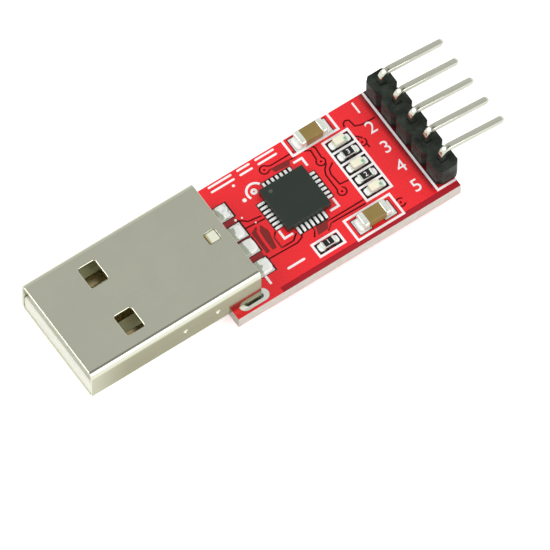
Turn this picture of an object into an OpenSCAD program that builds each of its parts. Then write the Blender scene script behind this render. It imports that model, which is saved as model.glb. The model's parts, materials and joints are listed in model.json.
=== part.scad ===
// USB to serial adapter module: a plug soldered on the end of a narrow board, with its converter
// chip, two ceramic capacitors, three indicator lamps, three resistors and a bent pin header.
// X runs from the plug's mouth to the header, Y across the board, and Z up from the board's parts side.
// The origin is the centre of the plug's mouth.

/* [Plug shell] */
// Width of the plug's shell
plug_w = 12; // [11.6:0.1:12.6]
// Height of the plug's shell
plug_h = 4.5; // [4.4:0.1:5]
// Length of the shell from its mouth to its rear
shell_len = 19.4; // [18.6:0.1:21]
// Thickness of the shell's sheet
shell_t = 0.3; // [0.25:0.05:0.35]
// Outside radius of the shell's four long bends
bend_r = 0.6; // [0.45:0.05:0.7]
// Distance from the mouth to the latch windows
window_x = 5.25; // [5:0.05:6]
// Length of a latch window along the plug
window_len = 1.95; // [1.6:0.05:2.3]
// Width of a latch window across the plug
window_w = 2.45; // [2.1:0.05:2.8]
// Distance between the centres of the two windows of a wall
window_pitch = 6.1; // [5.6:0.1:6.4]
// Radius of the windows' corners
window_r = 0.2; // [0.1:0.05:0.35]
// Width of a leg that holds the shell in the board
leg_w = 1.6; // [1.2:0.1:2]
// Distance from the shell's rear to the middle of its legs
leg_inset = 0.8; // [0.8:0.1:1.4]
// Length of leg that stands out under the board
leg_proud = 1.1; // [0.8:0.1:1.6]
// Width of the open seam along the shell's underside
seam_w = 0.06; // [0.04:0.01:0.12]
// Diameter of the small dimples pressed in the shell's sides
dimple_d = 0.7; // [0.4:0.05:0.9]
// Distance from one side dimple to the next
dimple_pitch = 3.7; // [3:0.1:5]

/* [Plug insulator] */
// Thickness of the plastic tongue that carries the contacts
tongue_h = 1.95; // [1.8:0.05:2.1]
// Distance that the tongue's end stands back from the mouth
tongue_back = 0.1; // [0.05:0.05:0.4]
// Distance from the mouth to the full-height block behind the tongue
block_x = 11.9; // [11:0.1:13]
// Distance that the block stands in from the shell's rear
block_back = 0.25; // [0.15:0.05:0.5]
// Side of the square latch nub that fills the hole in the shell's top
nub_w = 1.15; // [0.9:0.05:1.4]
// Height that the latch nub stands proud of the shell
nub_proud = 0.08; // [0.04:0.01:0.15]

/* [Plug contacts] */
// Width of a contact strip
contact_w = 1.1; // [0.9:0.05:1.2]
// Thickness of a contact strip
contact_t = 0.25; // [0.2:0.01:0.3]
// Distance between the two inner contacts
contact_inner = 2; // [1.9:0.05:2.1]
// Distance between the two outer contacts
contact_outer = 7; // [6.8:0.05:7.2]
// Length of contact tail behind the shell
tail_out = 2.5; // [2.2:0.1:3]

/* [Board] */
// Distance that the board reaches past each side of the plug
board_beside = 0.8; // [0.7:0.05:2]
// Thickness of the board with its two printed faces
board_t = 1.6; // [1.2:0.1:2]
// Length of board that lies under the shell
board_overlap = 3.2; // [3:0.1:4]
// Thickness of the lacquered copper on each face
skin_t = 0.05; // [0.04:0.01:0.08]
// Distance that the copper stands back from the board's near edge
edge_strip = 0.6; // [0.4:0.05:0.8]
// Width of the gaps that part the tracks
track_gap = 0.16; // [0.12:0.02:0.24]
// Thickness of the white print
print_t = 0.03; // [0.02:0.01:0.05]
// Width of the white lines
line_w = 0.24; // [0.16:0.02:0.3]
// Diameter of the small holes that join the two faces
via_d = 0.25; // [0.2:0.05:0.5]

/* [Converter chip] */
// Side of the square chip
chip_w = 5; // [4.8:0.1:5.2]
// Height of the chip
chip_h = 0.85; // [0.7:0.05:1]
// Distance from the shell's rear to the chip's middle
chip_from_plug = 8.45; // [8.2:0.05:9]
// Distance of the chip's middle from the centreline
chip_y = 0.75; // [0.5:0.05:0.9]
// Distance between neighbouring leads
lead_pitch = 0.5; // [0.48:0.01:0.52]
// Width of a lead
lead_w = 0.25; // [0.2:0.01:0.28]
// Length of a lead under the chip
lead_len = 0.5; // [0.4:0.05:0.55]
// Length of board pad outside the chip
pad_out = 0.8; // [0.5:0.05:0.85]

/* [Capacitors] */
// Length of a capacitor
cap_len = 3.2; // [3:0.1:3.4]
// Width of a capacitor
cap_w = 1.6; // [1.4:0.1:1.7]
// Height of a capacitor
cap_h = 1.1; // [0.9:0.05:1.4]
// Length of a capacitor's metal end
cap_end = 0.72; // [0.5:0.02:0.8]
// Distance from the capacitors' middle to the column of lamps and resistors
cap_to_column = 1.89; // [1.7:0.01:2.1]
// Distance from the board's far edge to the middle of the far capacitor
cap_far_inset = 1.1; // [1:0.05:1.2]
// Distance from the board's near edge to the middle of the near capacitor
cap_near_inset = 1.8; // [1.7:0.05:1.9]

/* [Lamps and resistors] */
// Length of a lamp or resistor
small_len = 1.6; // [1.5:0.05:1.7]
// Width of a lamp or resistor
small_w = 0.8; // [0.7:0.05:0.85]
// Height of a resistor
resistor_h = 0.45; // [0.35:0.05:0.55]
// Height of a lamp
lamp_h = 0.7; // [0.55:0.05:0.85]
// Length of a lamp's lens
lens_len = 1.24; // [1:0.02:1.4]
// Thickness of a lamp's base
lamp_base_h = 0.28; // [0.2:0.02:0.35]
// Length of a lamp's or resistor's metal end
small_end = 0.26; // [0.2:0.02:0.34]
// Distance between the rows of the column of lamps and resistors
row_pitch = 1.5; // [1.45:0.01:1.52]
// Distance from the chip's middle to the column's middle
column_from_chip = 7.09; // [6.8:0.01:7.6]
// Distance of the column's middle from the centreline
column_y = 0.58; // [0.5:0.02:0.66]
// Distance from the board's near edge to the lone resistor
lone_inset = 1.9; // [1.8:0.05:2.1]

/* [Pin header] */
// Distance between neighbouring pins
pin_pitch = 2.54; // [2.5:0.01:2.6]
// Width of the plastic strip, and its height above the board
strip_w = 2.5; // [2.4:0.05:2.54]
// Cut corner of each segment of the strip
strip_cut = 0.45; // [0.3:0.05:0.6]
// Side of the square pins
pin_w = 0.64; // [0.5:0.02:0.66]
// Distance from the column of lamps and resistors to the row of pins
header_from_column = 6.31; // [5.6:0.01:8]
// Distance from the row of pins to the board's rear edge
header_inset = 0.65; // [0.65:0.05:1.5]
// Distance of the row's middle from the centreline
header_y = 0.55; // [0.3:0.05:0.6]
// Height of straight pin between the strip and the bend
pin_rise = 0.8; // [0.5:0.1:2]
// Centreline radius of the pins' bend
pin_bend = 0.8; // [0.6:0.05:1.2]
// Angle by which the outer part of the pins slopes down
pin_droop = 8; // [0:1:12]
// Distance from the row to the pins' tips
pin_reach = 7.1; // [5.5:0.1:9]
// Length of pin that stands out under the board
pin_proud = 1.1; // [0.8:0.1:1.6]

/* [Hidden] */
$fn = 48;
eps = 0.01;
pin_count = 5;
lamp_count = 3;
pads_a_side = 7;

// Levels
board_top = -plug_h / 2;
board_bottom = board_top - board_t;
core_top = board_top - skin_t;
core_bottom = board_bottom + skin_t;

// The board is as wide as the wider of the plug and the header, with a margin on each side
header_beside = 0.45;
board_w = max(plug_w + 2 * board_beside, pin_count * pin_pitch + 2 * header_beside);

// Places along and across the board
board_front = shell_len - board_overlap;
chip_x = shell_len + chip_from_plug;
column_x = chip_x + column_from_chip;
cap_x = column_x - cap_to_column;
header_x = column_x + header_from_column;
board_rear = header_x + header_inset;
board_len = board_rear - board_front;
leg_x = shell_len - leg_inset;
leg_y = plug_w / 2 - shell_t / 2;
cap_far_y = board_w / 2 - cap_far_inset;
cap_near_y = board_w / 2 - cap_near_inset;
lone_x = chip_x;
lone_y = board_w / 2 - lone_inset;
function row_y(i) = column_y + row_pitch * (2 - i);
function pin_y(i) = header_y + pin_pitch * ((pin_count + 1) / 2 - i);
function contact_y(i) = [contact_outer, contact_inner, -contact_inner, -contact_outer][i - 1] / 2;
function lead_offset(i) = lead_pitch * (i - (pads_a_side - 1) / 2);

// Clearances
seat_gap = 0.04;
mask_gap = 0.1;

// Insulator
inner_w = plug_w - 2 * shell_t;
inner_h = plug_h - 2 * shell_t;
tongue_bottom = -inner_h / 2 + seat_gap;
tongue_top = -inner_h / 2 + tongue_h;
block_rear = shell_len - block_back;
foot_ahead = 0.9;
foot_beside = 1.3;
foot_x = leg_x - leg_w / 2 - foot_ahead;
foot_w = plug_w - 2 * foot_beside;
groove_front = 0.9;
tongue_chamfer = 0.2;
nub_back = 1.6;
nub_x = shell_len - nub_back;
nub_h = 1.5 * shell_t;
nub_round = 0.15;
dimple_back = 4.2;
dimple_x = leg_x - dimple_back;
leg_chamfer = 0.3;

// Contacts: the middle line of the strip, seen from the side
strip_proud = 0.06;
strip_z = tongue_top - contact_t / 2 + strip_proud;
nose_ahead = 0.25;
nose_len = 0.5;
nose_drop = 0.45;
nose_depth = 0.7;
drop_inset = 1.9;
tail_lift = 0.32;
tail_level = 0.85;
tail_slope = 0.4;
tail_drop_x = block_rear - drop_inset;
tail_land_z = board_top + contact_t / 2;
tail_z = tail_land_z + tail_lift;
contact_line = [
    [groove_front + nose_ahead, strip_z - nose_drop],
    [groove_front + nose_ahead + nose_len, strip_z],
    [tail_drop_x, strip_z],
    [tail_drop_x, tail_z],
    [shell_len + tail_level, tail_z],
    [shell_len + tail_level + tail_slope, tail_land_z],
    [shell_len + tail_out, tail_land_z]
];
tail_pad_len = 2.1;
tail_pad_w = 1.7;
tail_pad_past = 0.2;
tail_pad_x = shell_len + tail_out + tail_pad_past - tail_pad_len / 2;

// Shell legs and their slots
slot_len = leg_w + 0.55;
slot_w = shell_t + 0.34;
slot_wall = 0.05;
slot_ring = 0.36;
slot_ring_end = 0.58;

// Pads for the small parts
end_pad_len = 0.8;
end_pad_w = 1.0;
cap_pad_len = 1.35;
cap_pad_w = 1.7;
cap_pad_past = 0.2;
lead_pad_w = lead_w + 0.03;
paddle_w = 3.1;
end_t = 0.05;
cap_round = 0.2;

// Plated holes of the header and the joining holes
pin_hole_d = 1.0;
pin_ring_d = 1.75;
hole_wall = 0.05;
via_ring = 0.25;
gully_x = (chip_x + chip_w / 2 + pad_out + column_x - small_len / 2 - end_pad_len / 2) / 2;
// Where the joining holes are, by the chip, the column and the board's near edge,
// and the angle at which each one's track leaves
via_spots = [
    [gully_x - 0.3 * lead_pitch, chip_y + 4.2 * lead_pitch, 95],
    [gully_x - 0.6 * lead_pitch, chip_y - 3.4 * lead_pitch, 95],
    [chip_x - 1.1 * lead_pitch, chip_y + 8.8 * lead_pitch, -15],
    [column_x + 1.8, row_y(1) + 0.3, 60],
    [column_x + 1.15, -board_w / 2 + 1.7, 0]
];

// Solder
fillet_h = 0.2;
film_t = 0.04;
mound_short = 0.7;
mound_narrow = 0.1;
mound_past = 0.2;
mound_round = 0.3;
mound_over = 0.2;
slot_fill_low = 0.8;
leg_collar = 0.7;
leg_collar_grow = 0.3;
cap_solder_run = 0.5;
cap_solder_h = 0.5;
small_solder_run = 0.35;
resistor_solder_h = 0.25;
lamp_solder_h = 0.2;
pin_cone_h = 0.75;
pin_cone_tip = 1.5 * pin_w;
pin_cone_inset = 0.1;

// Printed frames
frame_cap_len = 5.25;
frame_cap_w = 2.5;
frame_cap_far_w = 2 * (cap_far_inset + 0.875);
frame_column_w = 2.85;
frame_lone_len = 2.85;
frame_lone_w = 1.5;
mark_half = 3.25;
mark_arm = 1.1;
mark_shift = 0.3;
hook_r = 1.0;
hook_x = chip_x - mark_half + 0.7;
hook_y = chip_y + mark_half - 0.3;
hook_turn = -62;
header_line_gap = 0.1;
header_line_x = header_x - strip_w / 2 - header_line_gap - line_w;
header_line_y = pin_y(pin_count) - pin_pitch / 2 - header_line_gap - line_w;
slot_mark_x = shell_len + 1.4;
slot_mark_y = contact_y(4) - tail_pad_w / 2 - 0.05;
slot_mark_len = 1;

// Tracks: each is a gap in the copper that follows these points, counted in lead pitches from
// the chip's middle
function chip_point(u, v) = [chip_x + u * lead_pitch, chip_y + v * lead_pitch];
function chip_line(points) = [for (p = points) chip_point(p[0], p[1])];
gap_lines = [
    chip_line([[-0.3, 9.2], [0.4, 8.9], [5.8, 8.9]]),
    chip_line([[-0.5, 8.2], [2.8, 8], [5.4, 7.8]]),
    chip_line([[8.4, 4.9], [8.6, 7.3], [6.6, 8.4]]),
    chip_line([[9.5, 5], [9.7, 7.4], [8.7, 8.4]]),
    chip_line([[9.5, 3.3], [8.5, 2.3], [8, 1.2], [8, -2.8]]),
    chip_line([[10.6, 2.8], [9.3, 1.9], [8.9, 0.8], [9.1, -1.9], [11.2, -2.1]]),
    chip_line([[11, -7.2], [2.8, -7.2], [1.6, -7.5]]),
    chip_line([[10.8, -8.1], [3, -7.9], [1.6, -9]]),
    chip_line([[-2.5, -6], [-3.4, -7.3], [-4.7, -7.8], [-11.4, -7.6]]),
    chip_line([[-6.9, -3.4], [-7.8, -4.4], [-7.8, -7], [-5.1, -7], [-3.7, -5.9]]),
    chip_line([[-0.6, -6.4], [-0.5, -7.4], [-1.4, -8.7]]),
    chip_line([[-11.7, 2.8], [-9.9, 1.3], [-7.1, 0.9]]),
    chip_line([[-6.9, 0], [-10.5, 0.3], [-11.6, 0.3]]),
    chip_line([[16.8, 7.8], [17.1, 8.6], [17.7, 8.9], [18.4, 8.6], [18.6, 6.9], [19.9, 6.4], [22.8, 6.3]]),
    chip_line([[16.9, 5.2], [17.6, 4.9], [18.3, 4.1], [18.4, 1.5]])
];
// Where the board is bare beside the chip, and the track that crosses the first of these fields
bare_fields = [
    chip_line([[-10.9, -1.2], [-9.6, -0.5], [-8.4, -0.7], [-7.8, -2.4], [-8.6, -6.4], [-10.9, -6.4]]),
    chip_line([[0.1, 8.2], [4.1, 7.8], [3.5, 6.9], [0.3, 7.2]]),
    chip_line([[0.2, -6.6], [3.1, -6.6], [1.7, -8.6], [-0.5, -8.7]])
];
bare_track = chip_line([[-8.6, -0.2], [-9.6, -1.6], [-9.8, -3.6], [-9.8, -7]]);
bare_track_w = 0.3;
edge_strip_front = 5.2;

// Shapes that repeat

module rounded_rect(x, y, r) {
    square([x - 2 * r, y], center = true);
    square([x, y - 2 * r], center = true);
    for (sx = [-1, 1], sy = [-1, 1])
        translate([sx * (x / 2 - r), sy * (y / 2 - r)])
            circle(r);
}

module stadium(x, y) {
    square([x - y, y], center = true);
    for (s = [-1, 1])
        translate([s * (x - y) / 2, 0])
            circle(y / 2);
}

// Extrudes an outline drawn as Y and Z along X from x = 0
module along_x(len) {
    rotate([90, 0, 90])
        linear_extrude(len)
            children();
}

// Extrudes an outline drawn as X and Z to a width across Y
module side_profile(w) {
    rotate([90, 0, 0])
        linear_extrude(w, center = true)
            children();
}

// A block on z = 0 with every edge rounded
module brick(x, y, z, r) {
    intersection() {
        linear_extrude(z)
            rounded_rect(x, y, r);
        translate([-x / 2, 0, z / 2])
            along_x(x)
                rounded_rect(y, z, r);
        translate([0, 0, z / 2])
            side_profile(y)
                rounded_rect(x, z, r);
    }
}

// A strip of sheet that follows a line of points, with round bends
module bent_strip(points, t) {
    for (k = [0 : len(points) - 2]) {
        a = points[k];
        b = points[k + 1];
        translate(a)
            rotate(atan2(b[1] - a[1], b[0] - a[0]))
                translate([0, -t / 2])
                    square([norm(b - a), t]);
    }
    for (p = [for (k = [1 : len(points) - 2]) points[k]])
        translate(p)
            circle(t / 2, $fn = 24);
}

// Places its child at each end of a part that lies across the board
module at_row_ends(y) {
    for (s = [-1, 1])
        translate([column_x + s * small_len / 2, y, 0])
            mirror([s > 0 ? 0 : 1, 0, 0])
                children();
}

// Plug

module shell_section(grow = 0) {
    rounded_rect(plug_w - 2 * grow, plug_h - 2 * grow, bend_r - grow);
}

module window_cut() {
    linear_extrude(4 * shell_t, center = true)
        rounded_rect(window_len, window_w, window_r);
}

module plug_shell() {
    color("darkkhaki")
    difference() {
        union() {
            along_x(shell_len)
                difference() {
                    shell_section();
                    shell_section(shell_t);
                }
            for (s = [-1, 1])
                shell_leg(s);
        }
        for (sy = [-1, 1], sz = [-1, 1])
            translate([window_x + window_len / 2, sy * window_pitch / 2, sz * plug_h / 2])
                window_cut();
        translate([nub_x, 0, plug_h / 2])
            linear_extrude(4 * shell_t, center = true)
                rounded_rect(nub_w + 4 * seat_gap, nub_w + 4 * seat_gap, window_r);
        translate([-eps, -seam_w / 2, -plug_h / 2 - eps])
            cube([shell_len, seam_w, 2 * shell_t]);
        translate([foot_x, -foot_w / 2, -plug_h / 2 - eps])
            cube([shell_len, foot_w, shell_t + 2 * eps]);
        for (s = [-1, 1], k = [0, 1])
            translate([dimple_x - k * dimple_pitch, s * (plug_w / 2 + dimple_d / 4), 0])
                sphere(d = dimple_d);
    }
}

module shell_leg(side) {
    tip = leg_chamfer;
    bottom = board_bottom - leg_proud;
    translate([leg_x, side * leg_y, 0])
        side_profile(shell_t)
            polygon([
                [-leg_w / 2, -plug_h / 2 + bend_r],
                [-leg_w / 2, bottom + tip],
                [-leg_w / 2 + tip, bottom],
                [leg_w / 2 - tip, bottom],
                [leg_w / 2, bottom + tip],
                [leg_w / 2, -plug_h / 2 + bend_r]
            ]);
}

module plug_insulator() {
    tongue_w = inner_w - 2 * seat_gap;
    color("ivory")
    difference() {
        union() {
            translate([tongue_back, 0, 0])
                along_x(block_x - tongue_back)
                    intersection() {
                        shell_section(shell_t + seat_gap);
                        translate([-tongue_w / 2, tongue_bottom])
                            square([tongue_w, tongue_top - tongue_bottom]);
                    }
            translate([block_x, 0, 0])
                along_x(block_rear - block_x)
                    shell_section(shell_t + seat_gap);
            translate([foot_x + seat_gap, -foot_w / 2 + seat_gap, board_top])
                cube([block_rear - foot_x - seat_gap, foot_w - 2 * seat_gap, plug_h / 2]);
            translate([nub_x, 0, plug_h / 2 - nub_h])
                brick(nub_w, nub_w, nub_h + nub_proud, nub_round);
        }
        translate([tongue_back, 0, tongue_top])
            rotate([0, 45, 0])
                cube([tongue_chamfer, plug_w, tongue_chamfer], center = true);
        for (i = [1 : 4])
            translate([0, contact_y(i), 0])
                contact_channel();
    }
}

module contact_channel() {
    w = contact_w + 2 * seat_gap;
    t = contact_t + 2 * seat_gap;
    side_profile(w)
        bent_strip(contact_line, t);
    translate([groove_front, -w / 2, strip_z - nose_depth])
        cube([nose_ahead + nose_len + seat_gap, w, nose_depth + tongue_h]);
    translate([groove_front, -w / 2, strip_z - t / 2])
        cube([block_x - groove_front, w, tongue_h]);
}

module plug_contact(i) {
    color("gold")
    translate([0, contact_y(i), 0])
        side_profile(contact_w)
            bent_strip(contact_line, contact_t);
}

// A low mound of solder over each contact tail, open where the tail lies
module contact_solder() {
    mound_len = tail_pad_len - mound_short;
    color("silver")
    for (i = [1 : 4])
        difference() {
            translate([shell_len + tail_out + mound_past - mound_len / 2, contact_y(i), board_top])
                brick_half(mound_len, tail_pad_w - mound_narrow, contact_t + mound_over, mound_round);
            translate([0, contact_y(i), 0])
                side_profile(contact_w)
                    bent_strip(contact_line, contact_t);
        }
}

// A block whose upper edges are rounded and whose foot is square
module brick_half(x, y, z, r) {
    intersection() {
        translate([0, 0, -z])
            brick(x, y, 2 * z, r);
        translate([-x, -y, 0])
            cube([2 * x, 2 * y, 2 * z]);
    }
}

// Solder that fills each leg's slot and rises round the leg under the board
module shell_leg_solder() {
    collar = leg_collar;
    grow = leg_collar_grow;
    color("silver")
    for (s = [-1, 1])
        translate([leg_x, s * leg_y, 0])
            difference() {
                union() {
                    translate([0, 0, board_bottom - eps])
                        linear_extrude(board_t - slot_fill_low)
                            stadium(slot_len, slot_w);
                    for (e = [-1, 1])
                        translate([e * (slot_len - slot_w) / 2, 0, board_bottom - collar])
                            cylinder(h = collar, r1 = slot_w / 2, r2 = slot_w / 2 + grow);
                    translate([-(slot_len - slot_w) / 2, 0, 0])
                        along_x(slot_len - slot_w)
                            polygon([
                                [-slot_w / 2, board_bottom - collar],
                                [slot_w / 2, board_bottom - collar],
                                [slot_w / 2 + grow, board_bottom],
                                [-slot_w / 2 - grow, board_bottom]
                            ]);
                }
                translate([-leg_w / 2, -shell_t / 2, board_bottom - 2 * leg_proud])
                    cube([leg_w, shell_t, 3 * board_t]);
            }
}

// Board

module at_pins() {
    for (i = [1 : pin_count])
        translate([header_x, pin_y(i), 0])
            children();
}

module at_vias() {
    for (p = via_spots)
        translate([p[0], p[1]])
            children();
}

module at_slots() {
    for (s = [-1, 1])
        translate([leg_x, s * leg_y, 0])
            children();
}

module board_outline() {
    translate([board_front, -board_w / 2])
        square([board_len, board_w]);
}

module slot_ring_shape(gap = 0) {
    stadium(slot_len + 2 * (slot_ring_end + gap), slot_w + 2 * (slot_ring + gap));
}

module board_core() {
    color("indianred")
    translate([0, 0, core_bottom])
        linear_extrude(core_top - core_bottom)
            difference() {
                board_outline();
                at_pins()
                    circle(d = pin_hole_d + 2 * hole_wall);
                at_vias()
                    circle(d = via_d + 2 * hole_wall);
                at_slots()
                    stadium(slot_len + 2 * slot_wall, slot_w + 2 * slot_wall);
            }
}

// The pads of one side of the chip, or with a gap the one opening round them all
module lead_row(gap) {
    len = pad_out + lead_len + 2 * gap;
    if (gap > 0)
        square([len, (pads_a_side - 1) * lead_pitch + lead_pad_w + 2 * gap], center = true);
    else
        for (i = [0 : pads_a_side - 1])
            translate([0, lead_offset(i)])
                square([len, lead_pad_w], center = true);
}

// The outline of every bare pad, grown by a gap
module pad_shapes(gap = 0) {
    for (q = [0 : 3])
        translate([chip_x, chip_y])
            rotate(90 * q)
                translate([chip_w / 2 + (pad_out - lead_len) / 2, 0])
                    lead_row(gap);
    translate([chip_x, chip_y])
        square(paddle_w + 2 * gap, center = true);
    for (y = [cap_far_y, -cap_near_y], s = [-1, 1])
        translate([cap_x + s * (cap_len / 2 - cap_end / 2 + cap_pad_past), y])
            square([cap_pad_len + 2 * gap, cap_pad_w + 2 * gap], center = true);
    for (i = [0 : 4], s = [-1, 1])
        translate([column_x + s * small_len / 2, row_y(i)])
            square([end_pad_len + 2 * gap, end_pad_w + 2 * gap], center = true);
    for (s = [-1, 1])
        translate([lone_x + s * small_len / 2, -lone_y])
            square([end_pad_len + 2 * gap, end_pad_w + 2 * gap], center = true);
    for (i = [1 : 4])
        translate([tail_pad_x, contact_y(i)])
            square([tail_pad_len + 2 * gap, tail_pad_w + 2 * gap], center = true);
}

module pads_top() {
    color("silver")
    translate([0, 0, core_top])
        linear_extrude(skin_t)
            pad_shapes();
}

module copper_top() {
    color("crimson")
    translate([0, 0, core_top])
        linear_extrude(skin_t)
            difference() {
                board_outline();
                pad_shapes(mask_gap);
                at_pins()
                    circle(d = pin_ring_d + 2 * mask_gap);
                at_vias()
                    circle(d = via_d + 2 * via_ring);
                at_slots()
                    slot_ring_shape(seat_gap / 2);
                difference() {
                    bare_places();
                    print_lines();
                }
            }
}

// Where the top has no copper: gaps beside the tracks, bare fields and the near edge
module bare_places() {
    for (line = gap_lines)
        bent_strip(line, track_gap);
    for (p = via_spots)
        translate([p[0], p[1]])
            via_moat(p[2]);
    difference() {
        for (field = bare_fields)
            polygon(field);
        bent_strip(bare_track, bare_track_w);
    }
    translate([board_front + edge_strip_front, -board_w / 2 - eps])
        square([board_len, edge_strip + eps]);
}

// The gap round a joining hole's disc, open where its track leaves
module via_moat(turn) {
    r = via_d / 2 + via_ring;
    difference() {
        circle(r + track_gap);
        circle(r);
        rotate(turn)
            translate([0, -via_ring])
                square([2 * r, 2 * via_ring]);
    }
}

module copper_bottom() {
    color("crimson")
    translate([0, 0, board_bottom])
        linear_extrude(skin_t)
            difference() {
                board_outline();
                at_pins()
                    circle(d = pin_ring_d + 2 * mask_gap);
                at_vias()
                    circle(d = via_d + 2 * via_ring);
                at_slots()
                    slot_ring_shape(mask_gap);
            }
}

module header_hole_plating() {
    color("silver")
    at_pins()
        difference() {
            union() {
                translate([0, 0, board_bottom])
                    cylinder(h = board_t, d = pin_hole_d + 2 * hole_wall);
                translate([0, 0, board_bottom])
                    cylinder(h = skin_t, d = pin_ring_d);
                translate([0, 0, core_top])
                    cylinder(h = skin_t, d = pin_ring_d);
            }
            translate([0, 0, board_bottom - board_t])
                cylinder(h = 3 * board_t, d = pin_hole_d);
        }
}

module via_plating() {
    color("firebrick")
    at_vias()
        difference() {
            union() {
                translate([0, 0, board_bottom])
                    cylinder(h = board_t, d = via_d + 2 * hole_wall);
                for (z = [board_bottom, core_top])
                    translate([0, 0, z])
                        cylinder(h = skin_t, d = via_d + 2 * via_ring);
            }
            translate([0, 0, board_bottom - board_t])
                cylinder(h = 3 * board_t, d = via_d);
        }
}

module slot_plating() {
    color("silver")
    at_slots()
        difference() {
            union() {
                translate([0, 0, board_bottom])
                    linear_extrude(board_t)
                        stadium(slot_len + 2 * slot_wall, slot_w + 2 * slot_wall);
                for (z = [board_bottom, core_top])
                    translate([0, 0, z])
                        linear_extrude(skin_t)
                            slot_ring_shape();
            }
            translate([0, 0, board_bottom - board_t])
                linear_extrude(3 * board_t)
                    stadium(slot_len, slot_w);
        }
}

// Printed lines

module frame_shape(x, y) {
    difference() {
        square([x + line_w, y + line_w], center = true);
        square([x - line_w, y - line_w], center = true);
    }
}

module corner_mark(sx, sy) {
    translate([chip_x + sx * mark_half, chip_y + mark_shift + sy * mark_half])
        mirror([sx > 0 ? 1 : 0, 0])
            mirror([0, sy > 0 ? 1 : 0]) {
                square([mark_arm, line_w]);
                square([line_w, mark_arm]);
            }
}

module pin_one_mark() {
    translate([hook_x, hook_y])
        difference() {
            circle(hook_r);
            circle(hook_r - line_w);
            rotate(hook_turn)
                translate([0, -2 * hook_r])
                    square(4 * hook_r);
        }
}

module print_lines() {
    translate([cap_x, -cap_near_y])
        frame_shape(frame_cap_len, frame_cap_w);
    translate([cap_x, board_w / 2])
        frame_shape(frame_cap_len, frame_cap_far_w);
    for (k = [0 : 4])
        translate([column_x, row_y(k)])
            frame_shape(frame_column_w, row_pitch);
    translate([lone_x, -lone_y])
        frame_shape(frame_lone_len, frame_lone_w);
    for (c = [[1, 1], [1, -1], [-1, -1]])
        corner_mark(c[0], c[1]);
    pin_one_mark();
    translate([header_line_x, header_line_y])
        square([line_w, board_w]);
    translate([header_line_x, header_line_y])
        square([board_len, line_w]);
    translate([slot_mark_x, slot_mark_y - slot_mark_len])
        square([line_w, slot_mark_len]);
}

module print_top() {
    color("white")
    translate([0, 0, board_top])
        linear_extrude(print_t)
            intersection() {
                print_lines();
                board_outline();
            }
}

// Converter chip

module chip_ring(x, len, w, h) {
    translate([chip_x, chip_y, board_top])
        for (q = [0 : 3], i = [0 : pads_a_side - 1])
            rotate(90 * q)
                translate([x, lead_offset(i) - w / 2, 0])
                    cube([len, w, h]);
}

module chip_body() {
    dot_d = 0.55;
    dot_inset = 0.9;
    color("darkslategray")
    difference() {
        translate([chip_x - chip_w / 2, chip_y - chip_w / 2, board_top])
            cube([chip_w, chip_w, chip_h]);
        chip_ring(chip_w / 2 - lead_len, 2 * lead_len, lead_w, fillet_h);
        translate([chip_x - paddle_w / 2, chip_y - paddle_w / 2, board_top - eps])
            cube([paddle_w, paddle_w, fillet_h + eps]);
        translate([chip_x - chip_w / 2 + dot_inset, chip_y + chip_w / 2 - dot_inset, board_top + chip_h])
            cylinder(h = 0.1, d = dot_d, center = true);
    }
}

module chip_leads() {
    color("silver")
    chip_ring(chip_w / 2 - lead_len, lead_len, lead_w, fillet_h);
}

module chip_paddle() {
    color("silver")
    translate([chip_x - paddle_w / 2, chip_y - paddle_w / 2, board_top])
        cube([paddle_w, paddle_w, fillet_h]);
}

// Solder on each pad of the chip: a film that climbs the side of the lead
module chip_solder() {
    color("whitesmoke")
    translate([chip_x, chip_y, board_top])
        for (q = [0 : 3], i = [0 : pads_a_side - 1])
            rotate(90 * q)
                translate([chip_w / 2, lead_offset(i), 0])
                    side_profile(lead_w)
                        solder_wedge(pad_out, fillet_h);
}

// Outline of a solder fillet: hollow slope from a part's end down to the pad's end
module solder_wedge(len, h) {
    r = min(len, h) - film_t;
    difference() {
        square([len, h]);
        translate([r, h])
            circle(r);
        translate([r, film_t])
            square([len, h]);
    }
}

// Capacitors

function capacitor_y(i) = i == 1 ? cap_far_y : -cap_near_y;

module capacitor_body(i) {
    color("peru")
    translate([cap_x, capacitor_y(i), board_top + end_t])
        brick(cap_len - 2 * end_t, cap_w - 2 * end_t, cap_h - 2 * end_t, cap_round - end_t);
}

// Metal cups over the two ends of a block
module end_cups(len, w, h, cup, r) {
    difference() {
        brick(len, w, h, r);
        translate([0, 0, end_t])
            brick(len - 2 * end_t, w - 2 * end_t, h - 2 * end_t, r - end_t);
        translate([-len / 2 + cup, -w, -eps])
            cube([len - 2 * cup, 2 * w, 2 * h]);
    }
}

module capacitor_ends(i) {
    color("silver")
    translate([cap_x, capacitor_y(i), board_top])
        end_cups(cap_len, cap_w, cap_h, cap_end, cap_round);
}

// Solder that climbs the two ends of a part which lies along X
module end_solder(len, w, run, h) {
    for (s = [0, 1])
        mirror([s, 0, 0])
            translate([len / 2, 0, 0])
                side_profile(w)
                    solder_wedge(run, h);
}

module capacitor_solder(i) {
    color("whitesmoke")
    translate([cap_x, capacitor_y(i), board_top])
        end_solder(cap_len, cap_w - 2 * end_t, cap_solder_run, cap_solder_h);
}

// Lamps and resistors

function lamp_y(i) = row_y(2 * (i - 1));
function resistor_spot(i) = i == 3 ? [lone_x, -lone_y] : [column_x, row_y(2 * i - 1)];

module lamp_base(i) {
    color("beige")
    translate([column_x - small_len / 2 + small_end, lamp_y(i) - small_w / 2, board_top])
        cube([small_len - 2 * small_end, small_w, lamp_base_h]);
}

module lamp_ends(i) {
    color("silver")
    translate([column_x, lamp_y(i), board_top])
        for (s = [0, 1])
            mirror([s, 0, 0])
                translate([small_len / 2 - small_end, 0, 0])
                    linear_extrude(lamp_base_h)
                        difference() {
                            translate([0, -small_w / 2])
                                square([small_end, small_w]);
                            translate([small_end, 0])
                                circle(small_w / 4, $fn = 24);
                        }
}

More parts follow.
